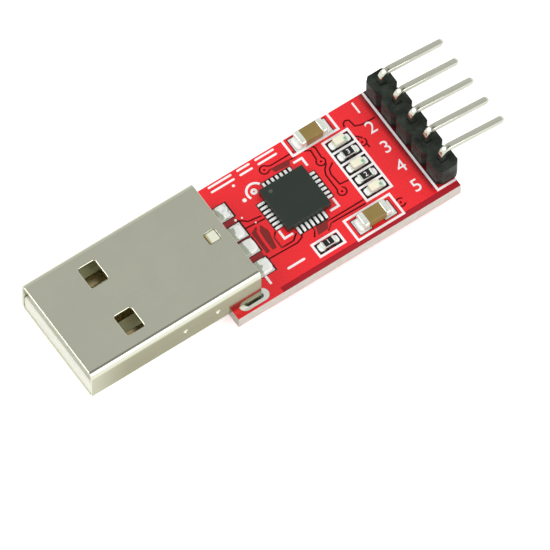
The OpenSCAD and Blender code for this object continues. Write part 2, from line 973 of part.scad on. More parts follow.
module lamp_lens(i) {
    slope = 0.12;
    color("lightyellow")
    translate([column_x, lamp_y(i), board_top + lamp_base_h])
        side_profile(small_w)
            polygon([
                [-lens_len / 2, 0],
                [lens_len / 2, 0],
                [lens_len / 2 - slope, lamp_h - lamp_base_h],
                [-lens_len / 2 + slope, lamp_h - lamp_base_h]
            ]);
}

module resistor_body(i) {
    color("white")
    translate(resistor_spot(i))
        translate([0, 0, board_top + end_t])
            brick(small_len - 2 * end_t, small_w - 2 * end_t, resistor_h - 2 * end_t, 0.05);
}

module resistor_coat(i) {
    color("black")
    translate(resistor_spot(i))
        translate([0, 0, board_top + resistor_h - end_t])
            linear_extrude(end_t)
                rounded_rect(small_len - 2 * small_end - 2 * seat_gap, small_w - 2 * end_t, 0.05);
}

module resistor_ends(i) {
    color("silver")
    translate(resistor_spot(i))
        translate([0, 0, board_top])
            end_cups(small_len, small_w, resistor_h, small_end, 0.1);
}

module resistor_solder() {
    color("whitesmoke")
    for (i = [1 : 3])
        translate(resistor_spot(i))
            translate([0, 0, board_top])
                end_solder(small_len, small_w, small_solder_run, resistor_solder_h);
}

module lamp_solder() {
    color("whitesmoke")
    for (i = [1 : lamp_count])
        translate([column_x, lamp_y(i), board_top])
            end_solder(small_len, small_w, small_solder_run, lamp_solder_h);
}

// Pin header

module segment_outline() {
    half = pin_pitch / 2;
    side = strip_w / 2;
    polygon([
        [-side, -half + strip_cut],
        [-side + strip_cut, -half],
        [side - strip_cut, -half],
        [side, -half + strip_cut],
        [side, half - strip_cut],
        [side - strip_cut, half],
        [-side + strip_cut, half],
        [-side, half - strip_cut]
    ]);
}

module header_strip() {
    hole = pin_w + 2 * seat_gap;
    color("#283028")
    translate([0, 0, board_top])
        linear_extrude(strip_w)
            difference() {
                at_pins()
                    segment_outline();
                at_pins()
                    square(hole, center = true);
            }
}

// A square bar from x = 0 to its length, with its far end tapered on four sides
module tapered_bar(len) {
    taper = 0.35;
    tip = pin_w * 0.3;
    intersection() {
        side_profile(2 * pin_w)
            bar_outline(len, taper, tip);
        linear_extrude(2 * pin_w, center = true)
            bar_outline(len, taper, tip);
    }
}

module bar_outline(len, taper, tip) {
    polygon([
        [0, -pin_w / 2],
        [len - taper, -pin_w / 2],
        [len, -tip],
        [len, tip],
        [len - taper, pin_w / 2],
        [0, pin_w / 2]
    ]);
}

module header_pin(i) {
    bend_z = board_top + strip_w + pin_rise;
    turn = 90 + pin_droop;
    far = 4 * pin_bend;
    run_x = pin_bend * (1 - cos(turn));
    run_z = pin_bend * sin(turn);
    color("gray")
    translate([header_x, pin_y(i), 0]) {
        translate([0, 0, bend_z])
            rotate([0, 90, 0])
                tapered_bar(bend_z - board_bottom + pin_proud);
        translate([pin_bend, 0, bend_z])
            side_profile(pin_w)
                intersection() {
                    difference() {
                        circle(pin_bend + pin_w / 2);
                        circle(pin_bend - pin_w / 2);
                    }
                    polygon([
                        [0, 0],
                        [-far, 0],
                        [-far, far],
                        [-far * cos(turn), far * sin(turn)]
                    ]);
                }
        translate([run_x, 0, bend_z + run_z])
            rotate([0, pin_droop, 0])
                tapered_bar((pin_reach - run_x) / cos(pin_droop));
    }
}

// Solder in each plated hole, with its cone round the pin's tail
module header_solder() {
    color("silver")
    at_pins()
        difference() {
            union() {
                translate([0, 0, board_bottom - eps])
                    cylinder(h = board_t + eps, d = pin_hole_d);
                translate([0, 0, board_bottom - pin_cone_h])
                    cylinder(h = pin_cone_h, d1 = pin_cone_tip, d2 = pin_ring_d - pin_cone_inset);
            }
            translate([-pin_w / 2, -pin_w / 2, board_bottom - board_t])
                cube([pin_w, pin_w, 3 * board_t]);
        }
}

board_core();
copper_top();
copper_bottom();
pads_top();
header_hole_plating();
slot_plating();
via_plating();
print_top();
plug_shell();
plug_insulator();
shell_leg_solder();
contact_solder();
for (i = [1 : 4]) {
    plug_contact(i);
}
chip_body();
chip_leads();
chip_paddle();
chip_solder();
for (i = [1 : 2]) {
    capacitor_body(i);
    capacitor_ends(i);
    capacitor_solder(i);
}
for (i = [1 : lamp_count]) {
    lamp_base(i);
    lamp_lens(i);
    lamp_ends(i);
}
for (i = [1 : 3]) {
    resistor_body(i);
    resistor_coat(i);
    resistor_ends(i);
}
lamp_solder();
resistor_solder();
header_strip();
for (i = [1 : pin_count]) {
    header_pin(i);
}
header_solder();
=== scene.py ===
"""Looks of a small circuit module: a plug on a red board with its chip, small parts and bent pins.
Blender works in metres. Sizes are written in millimetres and multiplied by MM."""
import json
import math

import bmesh
import bpy
from mathutils import Matrix, Vector, noise


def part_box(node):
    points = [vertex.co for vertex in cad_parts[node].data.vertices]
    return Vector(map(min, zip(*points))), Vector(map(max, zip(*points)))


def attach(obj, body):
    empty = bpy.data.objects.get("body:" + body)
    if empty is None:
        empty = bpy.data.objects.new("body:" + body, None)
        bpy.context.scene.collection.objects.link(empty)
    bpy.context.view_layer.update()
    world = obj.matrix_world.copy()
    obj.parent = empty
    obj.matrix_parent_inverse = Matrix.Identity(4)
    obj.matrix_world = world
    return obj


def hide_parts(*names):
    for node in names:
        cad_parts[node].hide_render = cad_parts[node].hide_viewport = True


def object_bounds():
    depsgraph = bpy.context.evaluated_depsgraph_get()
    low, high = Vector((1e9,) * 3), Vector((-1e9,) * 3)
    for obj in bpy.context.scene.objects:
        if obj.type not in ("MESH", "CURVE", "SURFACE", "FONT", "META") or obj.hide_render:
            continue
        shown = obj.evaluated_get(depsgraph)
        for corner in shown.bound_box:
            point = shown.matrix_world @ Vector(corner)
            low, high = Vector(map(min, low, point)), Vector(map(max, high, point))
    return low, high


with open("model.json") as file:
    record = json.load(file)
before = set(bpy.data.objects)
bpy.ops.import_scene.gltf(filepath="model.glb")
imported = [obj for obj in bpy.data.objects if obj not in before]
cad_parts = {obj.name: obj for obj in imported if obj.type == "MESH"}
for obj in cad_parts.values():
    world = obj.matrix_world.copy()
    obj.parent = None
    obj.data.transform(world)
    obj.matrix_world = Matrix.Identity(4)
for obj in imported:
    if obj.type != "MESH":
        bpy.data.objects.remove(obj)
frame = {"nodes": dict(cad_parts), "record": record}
cad_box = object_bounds()
nodes = frame["nodes"]
MM = 0.001


def span(node):
    """A node's lowest and highest corners in millimetres."""
    low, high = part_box(node)
    return Vector(low) / MM, Vector(high) / MM


# Places that the frame gives, in millimetres
board_low, board_high = span("board_core")
chip_low, chip_high = span("chip_body")
strip_low, strip_high = span("header_strip")
shell_low, shell_high = span("plug_shell")
chip_x, chip_y = (chip_low.x + chip_high.x) / 2, (chip_low.y + chip_high.y) / 2
chip_half = (chip_high.x - chip_low.x) / 2
board_top = span("copper_top")[1].z
floor_z = span("header_pin_1")[0].z
shell_rear = shell_high.x
PIN_COUNT = 5
pin_rows = [sum(corner.y for corner in span(f"header_pin_{i}")) / 2 for i in range(1, PIN_COUNT + 1)]
contact_rows = [sum(corner.y for corner in span(f"plug_contact_{i}")) / 2 for i in range(1, 5)]
PRINT_T = 0.03

# ---------------------------------------------------------------- camera
VIEW_CENTRE = Vector((21.78, -4.753, -2.379)) * MM
VIEW_BACK = Vector((-0.26262, -0.38431, 0.88506)).normalized()
PIXELS_PER_MM = 10.502
VIEW_DISTANCE = 1.2
camera_data = bpy.data.cameras.new("camera")
camera_data.sensor_width = 36
camera_data.lens = PIXELS_PER_MM * VIEW_DISTANCE / MM * 36 / 550
camera_data.clip_start = 0.05
camera_data.clip_end = 20
camera = bpy.data.objects.new("camera", camera_data)
bpy.context.collection.objects.link(camera)
camera.location = VIEW_CENTRE + VIEW_BACK * VIEW_DISTANCE
camera.rotation_mode = "QUATERNION"
camera.rotation_quaternion = (-VIEW_BACK).to_track_quat("-Z", "Y")
bpy.context.scene.camera = camera
bpy.context.scene.view_settings.view_transform = "Standard"


# ---------------------------------------------------------------- node trees
def put(tree, kind, inputs=None, **settings):
    """Adds a node, with values or links for its inputs by name or number."""
    node = tree.nodes.new(kind)
    for key, value in settings.items():
        setattr(node, key, value)
    for key, value in (inputs or {}).items():
        socket = node.inputs[key]
        if isinstance(value, bpy.types.NodeSocket):
            tree.links.new(value, socket)
        else:
            socket.default_value = value
    return node


def calc(tree, operation, a, b=0.0, clamp=False):
    return put(tree, "ShaderNodeMath", {0: a, 1: b}, operation=operation, use_clamp=clamp).outputs[0]


def ramp(tree, value, low, high, out_low=0.0, out_high=1.0):
    """The value mapped from one range to another, and held at its ends."""
    return put(tree, "ShaderNodeMapRange", {0: value, 1: low, 2: high, 3: out_low, 4: out_high}).outputs[0]


def blend(tree, factor, a, b):
    """A colour mix whose inputs are colours or links."""
    rgb = [c if isinstance(c, bpy.types.NodeSocket) else (*c, 1) for c in (a, b)]
    return put(tree, "ShaderNodeMix", {0: factor, 6: rgb[0], 7: rgb[1]}, data_type="RGBA").outputs[2]


def group_tree(name, inputs, outputs):
    """A shader group that takes a position and named numbers, and puts out numbers."""
    tree = bpy.data.node_groups.new(name, "ShaderNodeTree")
    tree.interface.new_socket("Position", in_out="INPUT", socket_type="NodeSocketVector")
    for label, value in inputs.items():
        socket = tree.interface.new_socket(label, in_out="INPUT", socket_type="NodeSocketFloat")
        socket.default_value = value
    for label in outputs:
        tree.interface.new_socket(label, in_out="OUTPUT", socket_type="NodeSocketFloat")
    return tree, tree.nodes.new("NodeGroupInput").outputs, tree.nodes.new("NodeGroupOutput").inputs


def make_grain():
    """Cloudy tone and a fine surface height, each by its scale in grains to the metre."""
    tree, given, made = group_tree("surface_grain", {"Cloud Scale": 400, "Grain Scale": 6000}, ["Cloud", "Grain"])
    for kind, detail in (("Cloud", 3.0), ("Grain", 2.0)):
        noise = put(tree, "ShaderNodeTexNoise", {"Vector": given["Position"], "Scale": given[f"{kind} Scale"],
                                                 "Detail": detail, "Roughness": 0.55})
        tree.links.new(ramp(tree, noise.outputs["Fac"], 0.3, 0.7), made[kind])
    return tree


def make_scuffs():
    """Sparse fine scratches along X, as a mask."""
    tree, given, made = group_tree("fine_scuffs", {"Along": 150, "Across": 5000, "Amount": 0.5}, ["Scuff"])
    stretch = put(tree, "ShaderNodeCombineXYZ", {0: given["Along"], 1: given["Across"], 2: given["Across"]})
    place = put(tree, "ShaderNodeVectorMath", {0: given["Position"], 1: stretch.outputs[0]}, operation="MULTIPLY")
    noise = put(tree, "ShaderNodeTexNoise", {"Vector": place.outputs[0], "Scale": 1.0, "Detail": 2.0})
    mask = ramp(tree, noise.outputs["Fac"], 0.58, 0.7)
    tree.links.new(calc(tree, "MULTIPLY", mask, given["Amount"]), made["Scuff"])
    return tree


def make_box_mask():
    """One inside an upright box given by its middle and half sizes in metres, and zero outside."""
    tree, given, made = group_tree("inside_box", {"X": 0, "Y": 0, "Half X": 1, "Half Y": 1}, ["Inside"])
    axes = put(tree, "ShaderNodeSeparateXYZ", {0: given["Position"]}).outputs
    sides = [calc(tree, "LESS_THAN", calc(tree, "ABSOLUTE", calc(tree, "SUBTRACT", axes[i], given[axis])),
                  given[f"Half {axis}"]) for i, axis in enumerate("XY")]
    tree.links.new(calc(tree, "MULTIPLY", *sides), made["Inside"])
    return tree


GRAIN = make_grain()
SCUFFS = make_scuffs()
BOX_MASK = make_box_mask()


def inside_box(tree, place, x, y, half_x, half_y):
    mask = put(tree, "ShaderNodeGroup", node_tree=BOX_MASK)
    tree.links.new(place, mask.inputs["Position"])
    for label, value in {"X": x, "Y": y, "Half X": half_x, "Half Y": half_y}.items():
        mask.inputs[label].default_value = value * MM
    return mask.outputs["Inside"]


def finish_of(name, color, dark=0.85, light=1.0, cloud=400, grain=6000, bump=0.1, bump_mm=0.01,
              rough=(0.4, 0.5), scuff=0.0, scuff_color=(1, 1, 1), recolor=None, **shader_values):
    """A material with cloudy tone, grained height and roughness, and fine scuffs."""
    material = bpy.data.materials.new(name)
    material.use_nodes = True
    tree = material.node_tree
    shader = tree.nodes["Principled BSDF"]
    place = put(tree, "ShaderNodeTexCoord").outputs["Object"]
    grains = put(tree, "ShaderNodeGroup", node_tree=GRAIN)
    tree.links.new(place, grains.inputs["Position"])
    grains.inputs["Cloud Scale"].default_value = cloud
    grains.inputs["Grain Scale"].default_value = grain
    base = blend(tree, grains.outputs["Cloud"], [c * dark for c in color], [min(1, c * light) for c in color])
    if recolor:
        base = recolor(tree, place, base)
    if scuff:
        marks = put(tree, "ShaderNodeGroup", node_tree=SCUFFS)
        tree.links.new(place, marks.inputs["Position"])
        marks.inputs["Amount"].default_value = scuff
        base = blend(tree, marks.outputs["Scuff"], base, scuff_color)
    height = put(tree, "ShaderNodeBump", {"Height": grains.outputs["Grain"], "Strength": bump,
                                          "Distance": bump_mm * MM})
    tree.links.new(height.outputs[0], shader.inputs["Normal"])
    tree.links.new(base, shader.inputs["Base Color"])
    tree.links.new(ramp(tree, grains.outputs["Grain"], 0, 1, *rough), shader.inputs["Roughness"])
    for label, value in shader_values.items():
        shader.inputs[label.replace("_", " ")].default_value = value
    return material


# ---------------------------------------------------------------- finishes
def gold_then_tin(tree, place, base):
    """The contacts are gold inside the plug and tinned where they come out."""
    x = put(tree, "ShaderNodeSeparateXYZ", {0: place}).outputs[0]
    return blend(tree, ramp(tree, x, (shell_rear - 3) * MM, (shell_rear - 2.4) * MM), base, (0.78, 0.80, 0.77))


def middle_of(*names):
    """The middle of several nodes, and half their size."""
    boxes = [span(name) for name in names]
    low = Vector([min(b[0][i] for b in boxes) for i in range(3)])
    high = Vector([max(b[1][i] for b in boxes) for i in range(3)])
    return (low + high) / 2, (high - low) / 2


def tone_round(tree, place, base, where, rows):
    """The base with a tone laid round nodes, each row a node, how far beside it in x and y, and the tone."""
    for name, beside_x, beside_y, tone in rows:
        middle, half = middle_of(name)
        near = inside_box(tree, place, middle.x, middle.y, half.x + beside_x, half.y + beside_y)
        base = blend(tree, calc(tree, "MULTIPLY", near, where), base, tone)
    return base


def bare_laminate(tree, place, base):
    """The core is cream at its sawn edges, dark red under lacquer alone, and black round the pads."""
    axes = put(tree, "ShaderNodeSeparateXYZ", {0: place}).outputs
    upper = calc(tree, "GREATER_THAN", axes[2], (board_high.z - 0.004) * MM)
    lower = calc(tree, "LESS_THAN", axes[2], (board_low.z + 0.004) * MM)
    base = blend(tree, calc(tree, "MAXIMUM", upper, lower), base, (0.06, 0.001, 0.002))
    for x, y, half_x, half_y in BARE_FIELDS:
        near = inside_box(tree, place, x, y, half_x, half_y)
        base = blend(tree, calc(tree, "MULTIPLY", near, upper), base, (0.23, 0.026, 0.024))
    edge = calc(tree, "LESS_THAN", axes[1], (board_low.y + 0.62) * MM)
    base = blend(tree, calc(tree, "MULTIPLY", edge, upper), base, (0.40, 0.012, 0.022))
    return tone_round(tree, place, base, upper, [
        (name, beside, min(beside, 0.22), (0.008, 0.003, 0.002))
        for name, beside in (("chip_solder", 0.12), ("lamp_solder", 0.22), ("capacitor_solder_1", 0.3),
                             ("capacitor_solder_2", 0.3), ("contact_solder", 0.12), ("resistor_ends_3", 0.5))])


def duller_sides(tree, place, base):
    """The shell's side walls carry a painted darker, warmer reflection below the bend, more so away from the mouth.
    """
    axes = put(tree, "ShaderNodeSeparateXYZ", {0: place}).outputs
    wall = ramp(tree, calc(tree, "ABSOLUTE", axes[1]), (shell_high.y - 0.06) * MM, (shell_high.y - 0.01) * MM)
    below = ramp(tree, axes[2], (shell_high.z - 0.5) * MM, (shell_high.z - 0.9) * MM)
    back = ramp(tree, axes[0], 0.2 * MM, 4 * MM, 0.6, 1.0)
    # painted reflection: a darker, warmer tone laid on the side walls below the bend
    return blend(tree, calc(tree, "MULTIPLY", calc(tree, "MULTIPLY", wall, below), back), base, (0.41, 0.395, 0.26))


def tail_facets(tree, place, base):
    """The front half of the solder over each contact's tail is greyer, up to a wavering line."""
    axes = put(tree, "ShaderNodeSeparateXYZ", {0: place}).outputs
    waver = put(tree, "ShaderNodeTexNoise", {"Vector": place, "Scale": 1100.0, "Detail": 1.0}).outputs["Fac"]
    line = calc(tree, "ADD", axes[0], calc(tree, "MULTIPLY", calc(tree, "SUBTRACT", waver, 0.5), 1.3 * MM))
    front = ramp(tree, line, (shell_rear + 1.72) * MM, (shell_rear + 1.6) * MM)
    tail = calc(tree, "MULTIPLY", front, calc(tree, "GREATER_THAN", axes[2], (board_high.z + 0.22) * MM))
    return blend(tree, tail, base, (0.42, 0.46, 0.38))


def dark_between_pads(tree, place, base):
    """The upper lacquer is dark in the frames of lamps and resistor and deep red between tails, with a painted shade
    in front of the header.
    """
    axes = put(tree, "ShaderNodeSeparateXYZ", {0: place}).outputs
    upper = calc(tree, "GREATER_THAN", axes[2], (board_high.z - 0.5) * MM)
    strip_low, strip_high = span("header_strip")
    # painted shade: the header's shadow on the lacquer in front of it, deepening towards the header
    shade = calc(tree, "MULTIPLY", ramp(tree, axes[0], (strip_low.x - 1.0) * MM, (strip_low.x - 0.3) * MM),
                 ramp(tree, axes[1], (strip_low.y - 0.5) * MM, (strip_low.y + 0.5) * MM))
    shade = calc(tree, "MULTIPLY", shade, calc(tree, "LESS_THAN", axes[0], strip_high.x * MM))
    base = blend(tree, calc(tree, "MULTIPLY", shade, upper), base, (0.10, 0.003, 0.006))
    base = tone_round(tree, place, base, upper, [
        ("resistor_body_3", 0.3, 0.2, (0.03, 0.002, 0.002)), ("lamp_solder", 0.12, 0.2, (0.03, 0.002, 0.002)),
        ("contact_solder", 0.0, -0.1, (0.33, 0.008, 0.014))])
    middle, half = middle_of("contact_solder")
    for y in contact_rows:
        rim = inside_box(tree, place, middle.x, y, half.x + 0.18, middle.y + half.y - max(contact_rows) + 0.15)
        base = blend(tree, calc(tree, "MULTIPLY", rim, upper), base, (0.05, 0.002, 0.002))
    return base


def dark_pads(tree, place, base):
    """The pads of the lamp column and of the lone resistor are dark where the solder leaves their corners."""
    return tone_round(tree, place, base, 1.0, [("lamp_solder", 0.12, 0.2, (0.022, 0.014, 0.010)),
                                               ("resistor_body_3", 0.6, 0.25, (0.022, 0.014, 0.010))])


def shaded_inside(tree, place, base):
    """The plastic is greener deep inside the shell, where little light comes, and greyer on the latch nub."""
    axes = put(tree, "ShaderNodeSeparateXYZ", {0: place}).outputs
    deep = calc(tree, "MULTIPLY", ramp(tree, axes[0], 1.2 * MM, 3.5 * MM),
                ramp(tree, axes[2], (shell_top - 0.35) * MM, (shell_top - 0.5) * MM))
    base = blend(tree, calc(tree, "MULTIPLY", deep, 0.9), base, (0.50, 0.49, 0.26))
    nub = calc(tree, "MULTIPLY", calc(tree, "GREATER_THAN", axes[0], 16.5 * MM),
               calc(tree, "GREATER_THAN", axes[2], (shell_top - 0.36) * MM))
    edge = ramp(tree, axes[0], (NUB_X - 0.5) * MM, (NUB_X - 0.3) * MM)
    return blend(tree, nub, base, blend(tree, edge, (0.36, 0.29, 0.12), (0.74, 0.75, 0.60)))


def dotted(tree, place, base):
    """A paler round dot at one corner of the chip."""
    flat = put(tree, "ShaderNodeVectorMath", {0: place, 1: (1, 1, 0)}, operation="MULTIPLY").outputs[0]
    spot = (chip_low.x + CHIP_DOT.x) * MM, (chip_high.y - CHIP_DOT.y) * MM, 0
    away = put(tree, "ShaderNodeVectorMath", {0: flat, 1: spot}, operation="DISTANCE").outputs["Value"]
    return blend(tree, ramp(tree, away, 0.26 * MM, 0.12 * MM), base, (0.085, 0.092, 0.072))


def green_ended(tree, place, base):
    """Green marks show through the rear end of each lamp's lens."""
    middle, half = middle_of("lamp_lens_1")
    axes = put(tree, "ShaderNodeSeparateXYZ", {0: place}).outputs
    row = calc(tree, "PINGPONG", calc(tree, "SUBTRACT", axes[1], (middle.y - 0.22) * MM), ROW_PITCH / 2 * MM)
    near_row = ramp(tree, row, 0.2 * MM, 0.12 * MM)
    near_end = ramp(tree, axes[0], (middle.x + half.x - 0.34) * MM, (middle.x + half.x - 0.2) * MM)
    return blend(tree, calc(tree, "MULTIPLY", near_row, near_end), base, (0.16, 0.52, 0.30))


CHIP_DOT = Vector((0.9, 0.72))
NUB_X = 17.8
BARE_FIELDS = ((23.2, -1.1, 0.95, 1.75), (28.9, 4.52, 1.1, 0.42), (28.5, -3.1, 1.0, 0.58))
ROW_PITCH = 3.0
shell_top = shell_high.z
# the steel's side walls carry a painted darker reflection
steel = finish_of("shell_steel", (0.80, 0.81, 0.655), 0.96, 1.0, 260, 2500, 0.05, 0.004, (0.10, 0.16),
                  scuff=0.06, scuff_color=(0.92, 0.93, 0.84), recolor=duller_sides, Metallic=1.0)
ivory = finish_of("white_plastic", (0.90, 0.90, 0.78), 0.95, 1.0, 500, 5000, 0.15, 0.01, (0.35, 0.45),
                  recolor=shaded_inside)
contact = finish_of("contact_gold", (0.70, 0.56, 0.30), 0.92, 1.0, 600, 4000, 0.1, 0.004, (0.25, 0.32),
                    recolor=gold_then_tin, Metallic=1.0)
laminate = finish_of("laminate", (0.70, 0.64, 0.575), 0.88, 1.0, 1500, 9000, 0.3, 0.02, (0.5, 0.65),
                     recolor=bare_laminate, Specular_IOR_Level=0.2)
# the lacquer's colour includes a painted shade in front of the header
lacquer = finish_of("red_lacquer", (0.89, 0.012, 0.020), 0.94, 1.0, 180, 2500, 0.03, 0.004, (0.25, 0.32),
                    recolor=dark_between_pads, Coat_Weight=0.15, Coat_Roughness=0.08)
tin = finish_of("tinned_copper", (0.90, 0.93, 0.88), 0.92, 1.0, 900, 3000, 0.15, 0.008, (0.2, 0.28),
                recolor=dark_pads, Metallic=0.3)
solder = finish_of("solder", (0.97, 1.0, 0.97), 0.93, 1.0, 1100, 2500, 0.35, 0.015, (0.15, 0.25),
                   recolor=tail_facets, Coat_Weight=0.3)
ink = finish_of("white_print", (0.95, 0.93, 0.93), 0.97, 1.0, 3000, 12000, 0.15, 0.008, (0.4, 0.5))
resin = finish_of("chip_resin", (0.014, 0.023, 0.015), 0.92, 1.1, 500, 16000, 0.3, 0.01, (0.42, 0.52),
                  recolor=dotted)
brown = finish_of("brown_ceramic", (0.285, 0.195, 0.055), 0.92, 1.05, 900, 12000, 0.2, 0.006, (0.3, 0.42))
alumina = finish_of("white_ceramic", (0.78, 0.78, 0.75), 0.94, 1.0, 1500, 12000, 0.3, 0.01, (0.45, 0.6))
overcoat = finish_of("black_glaze", (0.008, 0.008, 0.008), 0.8, 1.3, 2000, 9000, 0.15, 0.006, (0.25, 0.35))
end_metal = finish_of("tinned_ends", (0.88, 0.93, 0.84), 0.88, 1.0, 1100, 3000, 0.25, 0.012, (0.2, 0.3),
                      Metallic=0.4)
lens = finish_of("lamp_resin", (0.90, 0.87, 0.68), 0.94, 1.02, 900, 5000, 0.1, 0.01, (0.15, 0.25),
                 recolor=green_ended)
lamp_base = finish_of("lamp_base", (0.80, 0.80, 0.74), 0.9, 1.0, 1500, 9000, 0.2, 0.01, (0.4, 0.5))
black = finish_of("black_plastic", (0.017, 0.021, 0.017), 0.55, 2.3, 1000, 3500, 0.6, 0.03, (0.32, 0.46),
                  Specular_IOR_Level=0.16)
pin_tin = finish_of("pin_metal", (0.74, 0.75, 0.63), 0.94, 1.0, 500, 4000, 0.1, 0.005, (0.15, 0.22),
                    scuff=0.1, scuff_color=(0.9, 0.9, 0.85), Metallic=1.0)

SLOT_FINISH = {
    "shell_steel": steel, "white_plastic": ivory, "contact_gold": contact, "laminate": laminate,
    "red_lacquer": lacquer, "tinned_copper": tin, "solder": solder, "white_print": ink,
    "chip_resin": resin, "brown_ceramic": brown, "white_ceramic": alumina, "black_glaze": overcoat,
    "tinned_ends": end_metal, "lamp_resin": lens, "lamp_base": lamp_base, "black_plastic": black,
    "pin_metal": pin_tin,
}
slot_of = {part["node"]: part["material_slot"] for part in frame["record"]["subparts"]}
for name, node in nodes.items():
    node.data.materials.clear()
    node.data.materials.append(SLOT_FINISH[slot_of[name]])


# ---------------------------------------------------------------- pieces
def new_piece(name, mesh, slot, *stands_for):
    """A finished piece from a bmesh that is already in its place."""
    data = bpy.data.meshes.new(name)
    mesh.to_mesh(data)
    mesh.free()
    data.materials.clear()
    data.materials.append(SLOT_FINISH[slot])
    piece = bpy.data.objects.new(name, data)
    bpy.context.collection.objects.link(piece)
    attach(piece, "root")
    if stands_for:
        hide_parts(*stands_for)
    return piece


def soften(node, width, segments=2, smooth=40, least_angle=35, leave=lambda middle: False):
    """A copy of a node with its sharp edges rounded by a width in millimetres, which stands for it."""
    mesh = bmesh.new()
    mesh.from_mesh(nodes[node].data)
    bmesh.ops.remove_doubles(mesh, verts=mesh.verts, dist=0.0005 * MM)
    bmesh.ops.dissolve_limit(mesh, angle_limit=math.radians(1), verts=mesh.verts, edges=mesh.edges)
    sharp = [e for e in mesh.edges if e.is_manifold and e.calc_face_angle() > math.radians(least_angle)
             and not leave((e.verts[0].co + e.verts[1].co) / 2 / MM)]
    bmesh.ops.bevel(mesh, geom=sharp, offset=width * MM, offset_type="OFFSET", segments=segments,
                    profile=0.5, affect="EDGES", clamp_overlap=True)
    bmesh.ops.triangulate(mesh, faces=[f for f in mesh.faces if len(f.verts) > 4])
    piece = new_piece(f"{node}_soft", mesh, slot_of[node], node)
    even_shading(piece, smooth)
    return piece


def even_shading(piece, smooth):
    """Smooth shading whose normals follow the large faces, with edges past an angle kept sharp."""
    piece.data.shade_smooth()
    piece.data.set_sharp_from_angle(angle=math.radians(smooth))
    weighted = piece.modifiers.new("weighted", "WEIGHTED_NORMAL")
    weighted.keep_sharp = True
    weighted.weight = 100
    bpy.context.view_layer.update()
    shaded = bpy.data.meshes.new_from_object(piece.evaluated_get(bpy.context.evaluated_depsgraph_get()))
    piece.modifiers.clear()
    old = piece.data
    piece.data = shaded
    bpy.data.meshes.remove(old)


def add_box(mesh, low, high, round_mm, segments=3):
    """A box between two corners in millimetres, with all its edges rounded."""
    low, high = Vector(low), Vector(high)
    part = bmesh.new()
    size = high - low
    place = Matrix.Translation((low + high) / 2 * MM) @ Matrix.Diagonal((*(size * MM), 1))
    bmesh.ops.create_cube(part, size=1, matrix=place)
    if round_mm:
        bmesh.ops.bevel(part, geom=list(part.edges), offset=round_mm * MM, offset_type="OFFSET",
                        segments=segments, profile=0.5, affect="EDGES", clamp_overlap=True)
    add_mesh(mesh, part)


def add_mesh(mesh, part):
    data = bpy.data.meshes.new("part")
    part.to_mesh(data)
    part.free()
    mesh.from_mesh(data)
    bpy.data.meshes.remove(data)


def loft(mesh, loops, close=False):
    """Faces between rings of equal count, with flat ends or joined into a closed tube."""
    rings = [[mesh.verts.new(Vector(p) * MM) for p in ring] for ring in loops]
    pairs = list(zip(rings, rings[1:])) + ([(rings[-1], rings[0])] if close else [])
    for a, b in pairs:
        for k in range(len(a)):
            m = (k + 1) % len(a)
            mesh.faces.new((a[k], a[m], b[m], b[k]))
    if not close:
        mesh.faces.new(list(reversed(rings[0])))
        mesh.faces.new(rings[-1])
    bmesh.ops.recalc_face_normals(mesh, faces=mesh.faces)


def round_rect(half_u, half_v, radius, steps=8):
    """Points round a rectangle whose corners are arcs."""
    points = []
    for corner, (su, sv) in enumerate(((1, 1), (-1, 1), (-1, -1), (1, -1))):
        for k in range(steps + 1):
            angle = math.pi / 2 * (corner + k / steps)
            points.append((su * (half_u - radius) + radius * math.cos(angle),
                           sv * (half_v - radius) + radius * math.sin(angle)))
    return points


def carve(piece_mesh, cutter_mesh):
    """The first closed mesh with the second taken away, as a new bmesh."""
    holders = []
    for mesh in (piece_mesh, cutter_mesh):
        data = bpy.data.meshes.new("carving")
        mesh.to_mesh(data)
        mesh.free()
        holders.append(bpy.data.objects.new("carving", data))
        bpy.context.collection.objects.link(holders[-1])
    cut = holders[0].modifiers.new("cut", "BOOLEAN")
    cut.operation = "DIFFERENCE"
    cut.solver = "MANIFOLD"
    cut.object = holders[1]
    bpy.context.view_layer.update()
    data = bpy.data.meshes.new_from_object(holders[0].evaluated_get(bpy.context.evaluated_depsgraph_get()))
    result = bmesh.new()
    result.from_mesh(data)
    for holder in holders:
        bpy.data.objects.remove(holder)
    bpy.data.meshes.remove(data)
    return result


# The folded shell: a tube with rounded rims, pierced by holes whose rims are rounded too
SHELL_T, BEND_R, RIM = 0.3, 0.6, 0.06
WINDOW = {"x": 6.225, "y": 3.05, "half_x": 0.975, "half_y": 1.225}
NUB_HOLE = {"x": NUB_X, "half": 0.655}
half_w, half_h = shell_high.y, shell_high.z
shell = bmesh.new()
arc = [math.pi / 2 * k / 3 for k in range(4)]
rims = [(shell_rear - RIM + RIM * math.sin(a), RIM - RIM * math.cos(a)) for a in arc]
rims += [(shell_rear, SHELL_T - 0.02), (shell_rear - 0.02, SHELL_T), (0.02, SHELL_T), (0, SHELL_T - 0.02)]
rims += [(RIM - RIM * math.cos(a), RIM - RIM * math.sin(a)) for a in arc]
loft(shell, [[(x, u, v) for u, v in round_rect(half_w - inset, half_h - inset, BEND_R - inset)]
             for x, inset in rims], close=True)


def hole(x, y, half_x, half_y, side, corner=0.2, flare=0.09):
    """A cutter for a hole in the top or the underside, wider at the skin so that the rim is round."""
    skin = half_h + 0.001
    levels = [(skin - SHELL_T - 0.2, 0)]
    levels += [(skin - flare + flare * math.sin(a), flare - flare * math.cos(a)) for a in arc]
    levels += [(skin + 0.2, flare)]
    cutter = bmesh.new()
    loft(cutter, [[(x + u, y + v, side * z) for u, v in round_rect(half_x + grow, half_y + grow, corner + grow, 4)]
                  for z, grow in levels])
    return cutter


